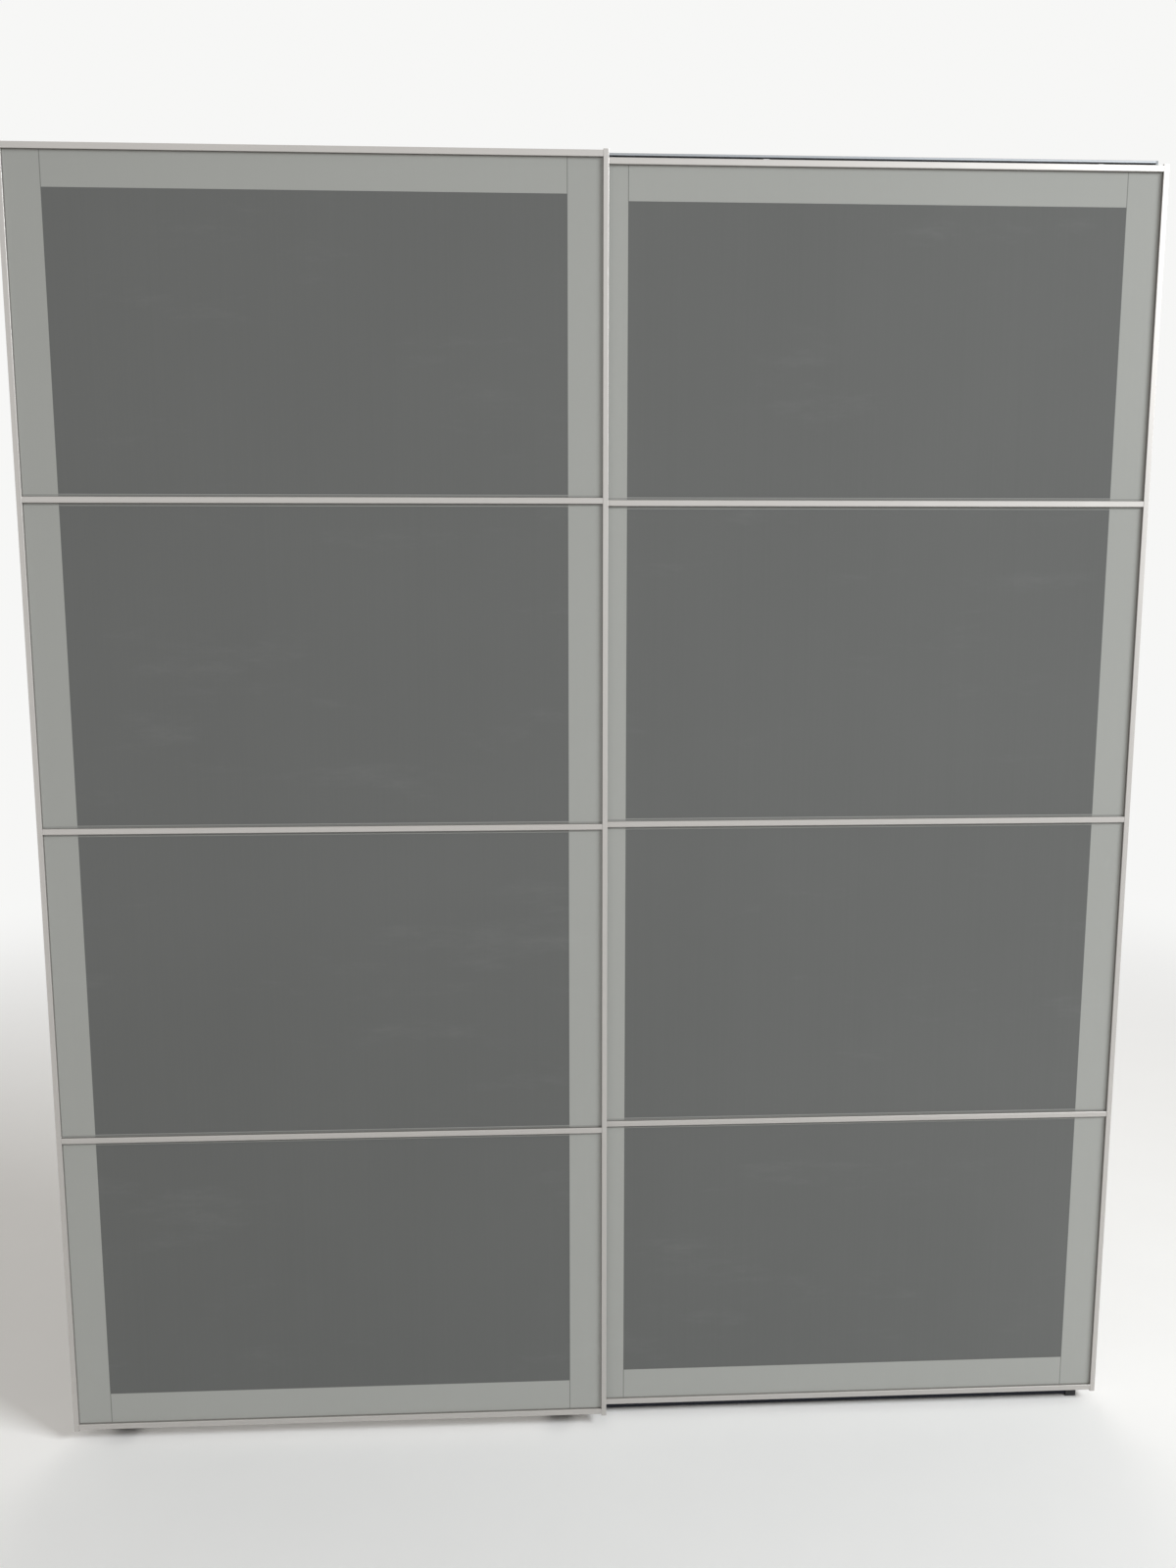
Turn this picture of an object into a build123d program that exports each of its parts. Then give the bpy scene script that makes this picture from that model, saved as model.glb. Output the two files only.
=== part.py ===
from build123d import *
import os

# A pair of framed glass sliding doors for a wardrobe, with the rail they hang from and the rail
# that guides their feet. Millimetres. X runs to the right seen from the room, Y runs from the
# room into the wardrobe, Z is up, and the floor is Z = 0. The origin lies on the floor, midway
# along the pair and midway through its depth.

# The pair
pair_width = 2000.0
door_overlap = 34.0
door_height = 2328.0
door_spacing = 8.4
floor_gap = 24.0
inner_door_drop = 2.5

# Door profiles: a hollow face, a web round the outside and a lip behind the boards
side_face = 9.5
cross_face = 10.8
face_depth = 5.0
face_wall = 1.2
side_web = 2.0
cross_web = 1.6
back_wall = 1.6
back_lip = 9.5
reveal_top = 2.0
reveal_bottom = 3.0
seam = 0.15
edge_radius = 0.8

# Screw port inside the top and bottom profiles, with eight flat sides and a slot
port_radius = 3.4
port_bore = 2.0
port_sides = 8
port_depth = 4.6
port_slot = 1.6

# Glass and the boards behind it
pane_rows = 4
glass_thickness = 4.0
pane_play = 1.0
pane_chamfer = 0.5
board_thickness = 16.0
board_border = 70.0
board_joint = 0.8
board_play = 0.3
board_chamfer = 0.4

# Muntins: a face bar, a web between two panes, and a flange and tube behind the glass
muntin_face = 10.5
muntin_chamfer = 0.8
muntin_setback = 0.4
muntin_web = 2.4
muntin_flange = 19.5
muntin_flange_wall = 1.5
muntin_tube_height = 12.0
muntin_tube_depth = 10.5

# Hangers, cut and bent from steel plate
hanger_thickness = 4.0
hanger_width = 58.0
hanger_inset = 69.0
hanger_drop = 72.0
hanger_bend = 5.0
hanger_neck = 30.0
hanger_corner = 6.0
hanger_over_axle = 8.0
hanger_under_axle = 12.0
arm_rise = 6.0
arm_straight = 6.0
pad_margin = 4.0
hanger_screw_spacing = 36.0
hanger_screw_top = 40.0
screw_hole_radius = 2.1

# Grooved wheels, and the axle pins that they run on
wheel_radius = 14.0
groove_radius = 11.5
flange_width = 2.4
wheel_width = 10.0
axle_below_top = 14.0
pin_radius = 5.5
wheel_play = 0.2
running_clearance = 0.08
head_radius = 7.5
head_thickness = 1.5
wheel_standoff = 3.0
roll_gap = 0.2

# Top rail
top_rail_gap = 6.4
track_setback = 7.0
track_pitch = 30.0
track_thickness = 3.0
track_height = 7.3
track_chamfer = 0.6
rail_base = 3.0
rail_web = 3.0
rail_tail = 16.0
hood_thickness = 2.5
hood_lip = 4.0
hood_lip_wall = 2.0
hood_gap = 1.5
rail_round = 2.0
rail_chamfer = 0.8
top_rail_inset = 10.0
mount_holes = 4
mount_inset = 100.0
mount_radius = 2.6
access_window = 12.0
cap_wall = 4.0
plug_length = 8.0
plug_rise = 6.0
fit = 0.2

# End stops in the top rail, with their buffers
stop_end_gap = 10.0
stop_height = 27.0
stop_shelf = 8.0
stop_half_width = 6.5
stop_slot_play = 0.3
stop_chamfer = 2.0
buffer_width = 12.0
buffer_height = 10.0
buffer_length = 4.3
buffer_chamfer = 0.8
buffer_drop = 2.0
buffer_touch = 0.3

# Bottom rail
bottom_rail_lift = 4.0
bottom_base = 3.0
bottom_web = 3.0
bottom_web_height = 42.0
rib_thickness = 3.0
rib_pitch = 18.0
rib_underlap = 1.6
rib_top_gap = 1.0
rib_chamfer = 0.6
bottom_tail = 17.0
bottom_mount_height = 30.0
bottom_end_inset = 30.0
bottom_cap_length = 20.0
bottom_cap_grip = 12.0
bottom_cap_wall = 2.0
bottom_cap_chamfer = 1.0

# Guides at the doors' feet
guide_width = 50.0
guide_inset = 90.0
guide_plate = 4.0
guide_height = 46.0
guide_arm = 4.5
guide_leg = 4.5
guide_reach = 5.5
guide_leg_play = 0.6
guide_chamfer = 2.0
guide_screw_height = 30.0
guide_screw_slot = 9.0
outer_arm_clearance = 3.0
inner_arm_lift = 1.0

# How far a cutting shape runs past the piece that it cuts
beyond = 1.0

# Places that follow from the sizes above, depths counted from the outer door's face
door_width = (pair_width + door_overlap) / 2
door_depth = face_depth + glass_thickness + board_thickness + back_wall
inner_front = door_depth + door_spacing
inner_back = inner_front + door_depth
inner_track = inner_back + top_rail_gap + track_setback
outer_track = inner_track + track_pitch
rail_front = inner_back + top_rail_gap
rail_back = outer_track + rail_tail
front_y = -rail_back / 2

glass_back = face_depth + glass_thickness
board_back = glass_back + board_thickness
cross_bottom = reveal_bottom
cross_top = door_height - reveal_top
pane_pitch = (cross_top - cross_bottom) / pane_rows
port_y = glass_back + board_thickness / 2
board_end = port_depth + port_radius + board_play

outer_top = floor_gap + door_height
inner_bottom = floor_gap - inner_door_drop
axle_z = outer_top - axle_below_top
track_top = axle_z - groove_radius - roll_gap
base_top = track_top - track_height
seat_z = base_top - rail_base
arm_top = outer_top + arm_rise
arm_bottom = arm_top - hanger_thickness
hood_top = arm_top + hood_gap + hood_lip
hood_bottom = hood_top - hood_thickness
mount_y = (inner_track + outer_track) / 2
tab_front = outer_track - wheel_width / 2 - wheel_standoff - hanger_thickness
top_rail_half = pair_width / 2 - top_rail_inset
mount_spacing = (pair_width - 2 * mount_inset) / (mount_holes - 1)

outer_arm_bottom = inner_bottom - outer_arm_clearance - guide_arm
inner_arm_bottom = inner_bottom + inner_arm_lift
outer_rib = inner_back - rib_underlap - rib_thickness / 2
inner_rib = outer_rib + rib_pitch
outer_rib_top = outer_arm_bottom - rib_top_gap
inner_rib_top = inner_arm_bottom - rib_top_gap
bottom_front = outer_rib - rib_thickness / 2
bottom_back = inner_rib + bottom_tail
bottom_base_top = bottom_rail_lift + bottom_base
bottom_web_top = bottom_rail_lift + bottom_web_height
bottom_rail_half = pair_width / 2 - bottom_end_inset - bottom_cap_length + bottom_cap_grip

os.makedirs("parts", exist_ok=True)


class Door:
    """One door's place: its lower left front corner, and planes measured from there."""

    def __init__(self, name, x, front, bottom):
        self.name = name
        self.x = x
        self.front = front
        self.bottom = bottom

    def point(self, x, y, z):
        """A point by its distances from the door's left side, face and lower end."""
        return (self.x + x, front_y + self.front + y, self.bottom + z)

    def level(self, height):
        """A level plane at a height above the door's lower end."""
        return Plane(origin=self.point(0, 0, height))

    def across(self, x):
        """A plane square to X, whose own axes are depth behind the face and height."""
        return Plane(origin=self.point(x, 0, 0), x_dir=(0, 1, 0), z_dir=(1, 0, 0))

    def facing(self, depth):
        """A plane that faces the room at a depth behind the face; its own axes are X and Z."""
        return Plane(origin=self.point(0, depth, 0), x_dir=(1, 0, 0), z_dir=(0, -1, 0))


outer_door = Door("left_door", -pair_width / 2, 0, floor_gap)
inner_door = Door("right_door", pair_width / 2 - door_width, inner_front, inner_bottom)


def rail_section(x):
    """A plane square to X, whose own axes are depth behind the outer door's face and height."""
    return Plane(origin=(x, front_y, 0), x_dir=(0, 1, 0), z_dir=(1, 0, 0))


def save(piece, name):
    """Label a finished piece and write it to a file of its own."""
    piece.part.label = name
    export_step(piece.part, f"parts/{name}.step")


def block(a, b, mode=Mode.ADD):
    """A rectangle spanned by two corners, in the current sketch."""
    with Locations(((a[0] + b[0]) / 2, (a[1] + b[1]) / 2)):
        Rectangle(abs(b[0] - a[0]), abs(b[1] - a[1]), mode=mode)


def nearest(sketch, *places):
    """The corner of a sketch that lies nearest to each given place."""
    return [sketch.vertices().sort_by_distance(place)[0] for place in places]


def from_side(side):
    """The door's edge on one side, and the direction that leads inward from it."""
    return (0, 1) if side == "left" else (door_width, -1)


def hanger_x(side):
    """The middle of the hanger on one side of a door."""
    edge, inward = from_side(side)
    return edge + inward * hanger_inset


def guide_x(side):
    """The middle of the guide on one side of a door."""
    edge, inward = from_side(side)
    return edge + inward * guide_inset


def side_profile(door, side):
    """Full-height profile: hollow face in front of the glass, web, and lip behind the boards."""
    edge, inward = from_side(side)

    def corner(x, y):
        return (edge + inward * x, y)

    with BuildPart() as profile:
        with BuildSketch(door.level(0)) as section:
            Polygon(corner(0, 0), corner(side_face, 0), corner(side_face, face_depth),
                    corner(side_web, face_depth), corner(side_web, board_back),
                    corner(back_lip, board_back), corner(back_lip, door_depth),
                    corner(0, door_depth), align=None)
            fillet(nearest(section, corner(0, 0), corner(side_face, 0)), edge_radius)
            block(corner(side_web, face_wall), corner(side_face - face_wall, face_depth - face_wall),
                  Mode.SUBTRACT)
        extrude(amount=door_height)
    save(profile, f"{door.name}_{side}_profile")


def end_notches(door, face_end):
    """Cuts a crosswise piece back at both ends, to clear the side profiles' face and back lip."""
    with BuildSketch(door.level(0)) as notches:
        for side in ("left", "right"):
            edge, inward = from_side(side)
            block((edge, -beyond), (edge + inward * (side_face + seam), face_end))
            block((edge, board_back - seam), (edge + inward * (back_lip + seam), door_depth + beyond))
    extrude(notches.sketch, amount=door_height, mode=Mode.SUBTRACT)


def cross_profile(door, end):
    """Top or bottom profile; its web and screw port reach inside the side profiles."""
    edge, inward = (cross_top, -1) if end == "top" else (cross_bottom, 1)

    def corner(y, z):
        return (y, edge + inward * z)

    start = side_web + seam
    with BuildPart() as profile:
        with BuildSketch(door.across(start)) as section:
            Polygon(corner(0, 0), corner(0, cross_face), corner(face_depth, cross_face),
                    corner(face_depth, cross_web), corner(board_back, cross_web),
                    corner(board_back, back_lip), corner(door_depth, back_lip),
                    corner(door_depth, 0), align=None)
            fillet(nearest(section, corner(0, 0), corner(0, cross_face)), edge_radius)
            block(corner(face_wall, face_wall), corner(face_depth - face_wall, cross_face - face_wall),
                  Mode.SUBTRACT)
            with Locations(corner(port_y, port_depth)):
                RegularPolygon(port_radius, port_sides, rotation=180 / port_sides)
                RegularPolygon(port_bore, port_sides, rotation=180 / port_sides, mode=Mode.SUBTRACT)
            block(corner(port_y - port_slot / 2, port_depth),
                  corner(port_y + port_slot / 2, port_depth + port_radius), Mode.SUBTRACT)
        extrude(amount=door_width - 2 * start)
        end_notches(door, face_depth + seam)
    save(profile, f"{door.name}_{end}_profile")


def board(door, name, low_x, high_x, low_z, high_z):
    """One board behind the glass, with softened upright edges."""
    with BuildPart() as piece:
        with BuildSketch(door.level(low_z)):
            block((low_x, glass_back), (high_x, board_back))
        extrude(amount=high_z - low_z)
        chamfer(piece.edges().filter_by(Axis.Z), board_chamfer)
    save(piece, f"{door.name}_{name}_board")


def boards(door):
    """Two full-height boards at the sides, and one between them at the top and bottom."""
    low = cross_bottom + board_end
    high = cross_top - board_end
    first = side_web + board_play
    inner = board_border + board_joint
    board(door, "left", first, board_border, low, high)
    board(door, "right", door_width - board_border, door_width - first, low, high)
    board(door, "top", inner, door_width - inner, cross_top - board_border, high)
    board(door, "bottom", inner, door_width - inner, low, cross_bottom + board_border)


def pane(door, row):
    """One pane of glass; rows are counted from the bottom."""
    under = cross_web if row == 0 else muntin_web / 2
    over = cross_web if row == pane_rows - 1 else muntin_web / 2
    low = cross_bottom + row * pane_pitch + under + pane_play
    high = cross_bottom + (row + 1) * pane_pitch - over - pane_play
    edge = side_web + pane_play
    with BuildPart() as glass:
        with BuildSketch(door.level(low)):
            block((edge, face_depth), (door_width - edge, glass_back))
        extrude(amount=high - low)
        faces = glass.faces().filter_by(Axis.Y)
        chamfer(faces.edges(), pane_chamfer)
    save(glass, f"{door.name}_pane_{row + 1}")


def muntin(door, number):
    """One bar between two panes; its web reaches inside the side profiles."""
    middle = cross_bottom + number * pane_pitch
    web_start = side_web + pane_play
    face_start = side_face + seam
    back_start = board_border + board_joint
    flange_back = glass_back + muntin_flange_wall
    tube_back = flange_back + muntin_tube_depth
    half_tube = muntin_tube_height / 2
    with BuildPart() as bar:
        with BuildSketch(door.across(web_start)):
            block((face_depth / 2, middle - muntin_web / 2), (glass_back, middle + muntin_web / 2))
        extrude(amount=door_width - 2 * web_start)
        end_notches(door, face_depth + seam)
        with BuildSketch(door.across(face_start)) as face:
            low = (muntin_setback, middle - muntin_face / 2)
            high = (muntin_setback, middle + muntin_face / 2)
            block(low, (face_depth, middle + muntin_face / 2))
            chamfer(nearest(face, low, high), muntin_chamfer)
        extrude(amount=door_width - 2 * face_start)
        with BuildSketch(door.across(back_start)):
            block((glass_back, middle - muntin_flange / 2), (flange_back, middle + muntin_flange / 2))
            block((flange_back, middle - half_tube), (tube_back, middle + half_tube))
            block((flange_back, middle - half_tube + face_wall),
                  (tube_back - face_wall, middle + half_tube - face_wall), Mode.SUBTRACT)
        extrude(amount=door_width - 2 * back_start)
    save(bar, f"{door.name}_muntin_{number}")


def hanger_outline(door):
    """A hanger's outline, seen along the rail, and the bend radius at each of its corners."""
    front = door_depth
    back = front + hanger_thickness
    low = door_height - hanger_drop
    axle = axle_z - door.bottom
    if door is inner_door:
        high = axle + hanger_over_axle
        return [(front, low), (front, high), (back, high), (back, low)], [0, 0, 0, 0]
    inside_bend = hanger_bend - hanger_thickness
    top = arm_top - door.bottom
    under = arm_bottom - door.bottom
    tab_back = tab_front + hanger_thickness
    foot = axle - hanger_under_axle
    points = [(front, low), (front, top), (tab_back, top), (tab_back, foot),
              (tab_front, foot), (tab_front, under), (back, under), (back, low)]
    return points, [0, hanger_bend, hanger_bend, 0, 0, inside_bend, inside_bend, 0]


def screwed_pad(door, middle, low, high, half_width):
    """Adds the raised pad that passes between the profiles' back lips and bears on the boards."""
    with BuildSketch(door.facing(door_depth)) as pad:
        block((middle - half_width, low), (middle + half_width, high))
    extrude(pad.sketch, amount=back_wall)


def track_depth(door):
    """How far a door's track lies behind that door's own face."""
    return (inner_track if door is inner_door else outer_track) - door.front


def hanger(door, side):
    """Steel hanger and its axle pin: the outer door's is bent to reach over the inner door."""
    middle = hanger_x(side)
    points, radii = hanger_outline(door)
    back = door_depth + hanger_thickness
    axle = axle_z - door.bottom
    with BuildPart() as plate:
        with BuildSketch(door.across(middle - hanger_width / 2)):
            with BuildLine():
                FilletPolyline(*points, radius=radii, close=True)
            make_face()
        extrude(amount=hanger_width)
        if door is outer_door:
            start = back + arm_straight
            end = tab_front + hanger_thickness + beyond
            with BuildSketch(door.level(axle - hanger_under_axle - beyond)):
                for turn in (-1, 1):
                    edge = middle + turn * hanger_width / 2
                    neck = middle + turn * hanger_neck / 2
                    wide = edge + turn * beyond
                    Polygon((edge, start), (neck, tab_front), (neck, end), (wide, end), (wide, start),
                            align=None)
            extrude(amount=arm_top - axle_z + hanger_under_axle + 2 * beyond, mode=Mode.SUBTRACT)
        corners = plate.edges().filter_by(Axis.Y).filter_by(
            lambda corner: abs(corner.length - hanger_thickness) < seam)
        chamfer(corners, hanger_corner)
        screwed_pad(door, middle, door_height - hanger_drop + pad_margin,
                    cross_top - back_lip - pad_margin, hanger_width / 2 - pad_margin)
        with BuildSketch(door.facing(board_back)) as screw_holes:
            with Locations((middle, door_height - hanger_screw_top)):
                with GridLocations(hanger_screw_spacing, 1, 2, 1):
                    Circle(screw_hole_radius)
        extrude(screw_holes.sketch, amount=-back_wall - hanger_thickness, mode=Mode.SUBTRACT)
        axle_pin(door, middle, axle)
    save(plate, f"{door.name}_{side}_hanger")


def axle_pin(door, middle, axle):
    """Adds the pin that carries a wheel, set into the plate, with a head that keeps the wheel on."""
    root = (door_depth if door is inner_door else tab_front) + hanger_thickness / 2
    neck = track_depth(door) + wheel_width / 2 + wheel_play
    outline = [(root, 0), (root, pin_radius), (neck, pin_radius), (neck, head_radius),
               (neck + head_thickness, head_radius), (neck + head_thickness, 0)]
    with BuildSketch(door.across(middle)) as half:
        Polygon(*[(y, axle + radius) for y, radius in outline], align=None)
    revolve(half.sketch, axis=Axis(door.point(middle, 0, axle), (0, 1, 0)))


def wheel(door, side):
    """A wheel with a flange on each side of the groove that runs on its track."""
    z = axle_z - door.bottom
    depth = track_depth(door)
    bore = pin_radius + running_clearance
    groove_side = wheel_width / 2 - flange_width
    half = [(wheel_width / 2, bore), (wheel_width / 2, wheel_radius), (groove_side, wheel_radius),
            (groove_side, groove_radius)]
    outline = half + [(-y, radius) for y, radius in reversed(half)]
    with BuildPart() as roller:
        with BuildSketch(door.across(hanger_x(side))):
            Polygon(*[(depth + y, z + radius) for y, radius in outline], align=None)
        revolve(axis=Axis(door.point(hanger_x(side), 0, z), (0, 1, 0)))
    save(roller, f"{door.name}_{side}_wheel")


def guide(door, side):
    """A moulded guide: plate on the door's back, arm, and two legs astride a rib of the rail."""
    middle = guide_x(side)
    rib = (inner_rib if door is inner_door else outer_rib) - door.front
    under = (inner_arm_bottom if door is inner_door else outer_arm_bottom) - door.bottom
    over = under + guide_arm
    back = door_depth + guide_plate
    slot = rib_thickness / 2 + guide_leg_play
    leg = slot + guide_leg
    foot = under - guide_reach
    top = guide_height
    points = [(door_depth, top), (door_depth, under), (rib - leg, under), (rib - leg, foot),
              (rib - slot, foot), (rib - slot, under), (rib + slot, under), (rib + slot, foot),
              (rib + leg, foot), (rib + leg, over), (back, over), (back, top)]
    if rib - leg < back:
        points[1:4] = [(door_depth, under), (back, under), (back, foot)]
    with BuildPart() as shoe:
        with BuildSketch(door.across(middle - guide_width / 2)) as section:
            Polygon(*points, align=None)
            chamfer(nearest(section, (rib + leg, over)), guide_chamfer)
        extrude(amount=guide_width)
        chamfer(shoe.edges().filter_by(Axis.Y).group_by(Axis.Z)[-1], guide_chamfer)
        screwed_pad(door, middle, cross_bottom + back_lip + pad_margin, guide_height - pad_margin,
                    guide_width / 2 - pad_margin)
        with BuildSketch(door.facing(board_back)) as screw_slot:
            with Locations((middle, guide_screw_height)):
                Rectangle(2 * screw_hole_radius, guide_screw_slot)
        extrude(screw_slot.sketch, amount=-back_wall - guide_plate, mode=Mode.SUBTRACT)
    save(shoe, f"{door.name}_{side}_guide")


def make_door(door):
    """Every piece of one door."""
    for side in ("left", "right"):
        side_profile(door, side)
        hanger(door, side)
        wheel(door, side)
        guide(door, side)
    for end in ("top", "bottom"):
        cross_profile(door, end)
    boards(door)
    for row in range(pane_rows):
        pane(door, row)
    for number in range(1, pane_rows):
        muntin(door, number)


def inner_side_of_stop():
    """Distance from the middle of the pair to the face of an end stop that carries the buffers."""
    return pair_width / 2 - hanger_inset + wheel_radius + buffer_touch + buffer_length


def top_rail():
    """Running rail: base with two tracks, web at the back, and a hood with a lip over the wheels."""
    with BuildPart() as rail:
        with BuildSketch(rail_section(-top_rail_half)) as section:
            block((rail_front, seat_z), (rail_back, base_top))
            block((rail_back - rail_web, seat_z), (rail_back, hood_top))
            block((rail_front, hood_bottom), (rail_back, hood_top))
            block((rail_front, hood_top - hood_lip), (rail_front + hood_lip_wall, hood_top))
            chamfer(nearest(section, (rail_back, seat_z), (rail_back, hood_top), (rail_front, hood_top)),
                    rail_chamfer)
            fillet(nearest(section, (rail_back - rail_web, base_top), (rail_back - rail_web, hood_bottom)),
                   rail_round)
            for track in (inner_track, outer_track):
                low = (track - track_thickness / 2, base_top)
                high = (track + track_thickness / 2, track_top)
                block(low, high)
                chamfer(nearest(section, (low[0], track_top), high), track_chamfer)
        extrude(amount=2 * top_rail_half)
        with BuildSketch(Plane.XY.offset(base_top)):
            with Locations((0, front_y + mount_y)):
                with GridLocations(mount_spacing, 1, mount_holes, 1):
                    Circle(mount_radius)
        extrude(amount=-rail_base, mode=Mode.SUBTRACT)
        with BuildSketch(Plane.XY.offset(hood_top)):
            with Locations((0, front_y + mount_y)):
                with GridLocations(mount_spacing, 1, mount_holes, 1):
                    Rectangle(access_window, access_window)
        extrude(amount=-hood_thickness, mode=Mode.SUBTRACT)
    save(rail, "top_rail")


def top_cap(side, name):
    """End cap of the top rail: a plate over its end and two plugs inside it."""
    start = side * top_rail_half
    behind = outer_track + track_thickness / 2 + fit
    between = (inner_track + track_thickness / 2 + fit, outer_track - track_thickness / 2 - fit)
    with BuildPart() as cap:
        with BuildSketch(rail_section(start)) as section:
            block((rail_front, seat_z), (rail_back, hood_top))
            chamfer(section.vertices(), rail_chamfer)
        extrude(amount=side * cap_wall)
        with BuildSketch(rail_section(start)):
            block((behind, base_top + fit), (rail_back - rail_web - rail_round - fit, base_top + plug_rise))
            block((between[0], base_top + fit), (between[1], base_top + plug_rise))
        extrude(amount=-side * plug_length)
    save(cap, name)


def end_stop(side, name):
    """Stop block across both tracks: a tower over each, and a shelf between to screw down."""
    face = inner_side_of_stop()
    far = top_rail_half - stop_end_gap
    slot = track_thickness / 2 + stop_slot_play
    with BuildPart() as stop:
        with BuildSketch(rail_section(side * face)) as section:
            block((inner_track - stop_half_width, base_top),
                  (outer_track + stop_half_width, base_top + stop_shelf))
            for track in (inner_track, outer_track):
                low = (track - stop_half_width, base_top)
                high = (track + stop_half_width, base_top + stop_height)
                block(low, high)
                chamfer(nearest(section, (low[0], high[1]), high), stop_chamfer)
            for track in (inner_track, outer_track):
                block((track - slot, base_top), (track + slot, track_top + stop_slot_play), Mode.SUBTRACT)
        extrude(amount=side * (far - face))
    save(stop, name)


def buffers():
    """The rubber buffers, one pad on each tower of the end stops, softened where a wheel meets it."""
    with BuildPart() as pads:
        for side in (-1, 1):
            with BuildSketch(rail_section(side * inner_side_of_stop())):
                with Locations((inner_track, axle_z - buffer_drop), (outer_track, axle_z - buffer_drop)):
                    Rectangle(buffer_width, buffer_height)
            extrude(amount=-side * buffer_length)
        fronts = pads.faces().filter_by(Axis.X).filter_by(
            lambda face: abs(abs(face.center().X) - inner_side_of_stop() + buffer_length) < seam)
        chamfer(fronts.edges(), buffer_chamfer)
    save(pads, "stop_buffers")


def bottom_section(grow, mode):
    """The bottom rail's section in the current sketch, made larger all round by an allowance."""
    block((bottom_front - grow, bottom_rail_lift - grow), (bottom_back + grow, bottom_base_top + grow), mode)
    block((bottom_back - bottom_web - grow, bottom_rail_lift - grow),
          (bottom_back + grow, bottom_web_top + grow), mode)
    half = rib_thickness / 2 + grow
    for rib, top in ((outer_rib, outer_rib_top), (inner_rib, inner_rib_top)):
        block((rib - half, bottom_rail_lift), (rib + half, top + grow), mode)


def bottom_rail():
    """Guide rail: a base with two upright ribs, and a web that screws to the wardrobe's foot."""
    with BuildPart() as rail:
        with BuildSketch(rail_section(-bottom_rail_half)) as section:
            bottom_section(0, Mode.ADD)
            for rib, top in ((outer_rib, outer_rib_top), (inner_rib, inner_rib_top)):
                chamfer(nearest(section, (rib - rib_thickness / 2, top), (rib + rib_thickness / 2, top)),
                        rib_chamfer)
        extrude(amount=2 * bottom_rail_half)
        holes = Plane(origin=(0, front_y + bottom_back, bottom_rail_lift + bottom_mount_height),
                      x_dir=(1, 0, 0), z_dir=(0, -1, 0))
        with BuildSketch(holes):
            with GridLocations(mount_spacing, 1, mount_holes, 1):
                Circle(mount_radius)
        extrude(amount=bottom_web, mode=Mode.SUBTRACT)
    save(rail, "bottom_rail")


def bottom_cap(side, name):
    """Moulded shoe on each end of the bottom rail; it stands on the floor."""
    outer_end = pair_width / 2 - bottom_end_inset
    inner_end = outer_end - bottom_cap_length
    wall = bottom_cap_wall
    step = inner_rib - rib_thickness / 2 - wall
    shoulder = bottom_back - bottom_web - wall
    with BuildPart() as cap:
        with BuildSketch(rail_section(side * inner_end)) as section:
            Polygon((bottom_front - wall, 0), (bottom_back, 0), (bottom_back, bottom_web_top + wall),
                    (shoulder, bottom_web_top + wall), (shoulder, inner_rib_top + wall),
                    (step, inner_rib_top + wall), (step, outer_rib_top + wall),
                    (bottom_front - wall, outer_rib_top + wall), align=None)
            chamfer(nearest(section, (bottom_front - wall, outer_rib_top + wall),
                            (step, inner_rib_top + wall), (shoulder, bottom_web_top + wall)),
                    bottom_cap_chamfer)
        extrude(amount=side * bottom_cap_length)
        with BuildSketch(rail_section(side * inner_end)):
            bottom_section(fit, Mode.ADD)
        extrude(amount=side * (bottom_cap_grip + fit), mode=Mode.SUBTRACT)
    save(cap, name)


make_door(outer_door)
make_door(inner_door)
top_rail()
bottom_rail()
for end_side, end_name in ((-1, "left"), (1, "right")):
    top_cap(end_side, f"top_rail_{end_name}_cap")
    bottom_cap(end_side, f"bottom_rail_{end_name}_cap")
    end_stop(end_side, f"{end_name}_end_stop")
buffers()
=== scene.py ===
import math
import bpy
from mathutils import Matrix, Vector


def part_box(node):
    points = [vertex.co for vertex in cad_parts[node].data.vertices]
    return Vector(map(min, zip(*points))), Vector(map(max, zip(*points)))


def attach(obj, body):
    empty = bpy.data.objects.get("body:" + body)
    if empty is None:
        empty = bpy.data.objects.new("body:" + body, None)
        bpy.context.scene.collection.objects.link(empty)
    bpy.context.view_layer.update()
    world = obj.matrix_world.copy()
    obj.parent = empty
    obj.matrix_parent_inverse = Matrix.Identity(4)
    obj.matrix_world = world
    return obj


bl_info = {
    "name": "Sliding wardrobe doors",
    "version": (1, 0, 0),
    "blender": (4, 5, 0),
    "location": "3D View > Sidebar > Sliding doors",
    "description": "Finishes, seals and stage for a pair of framed glass sliding doors",
    "category": "Object",
}

import bpy
import numpy as np
from bpy.props import FloatProperty, FloatVectorProperty, PointerProperty
from bpy.types import Operator, Panel, PropertyGroup

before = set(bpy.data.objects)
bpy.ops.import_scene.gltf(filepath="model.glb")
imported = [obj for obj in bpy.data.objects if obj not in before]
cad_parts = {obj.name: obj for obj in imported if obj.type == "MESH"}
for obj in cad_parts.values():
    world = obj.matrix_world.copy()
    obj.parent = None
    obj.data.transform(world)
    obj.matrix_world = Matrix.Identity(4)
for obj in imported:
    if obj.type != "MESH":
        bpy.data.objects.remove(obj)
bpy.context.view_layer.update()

DOORS = ("left_door", "right_door")
SIDES = ("left", "right")
ROWS = (1, 2, 3, 4)
BARS = (1, 2, 3)

# What lies on the finishes: dust on plastic, grime in the wheels, haze on glass, bloom on rubber.
DUST = (0.55, 0.53, 0.50)
GRIME = (0.23, 0.225, 0.21)
HAZE = (0.55, 0.57, 0.58)
BLOOM = (0.16, 0.155, 0.15)


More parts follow.
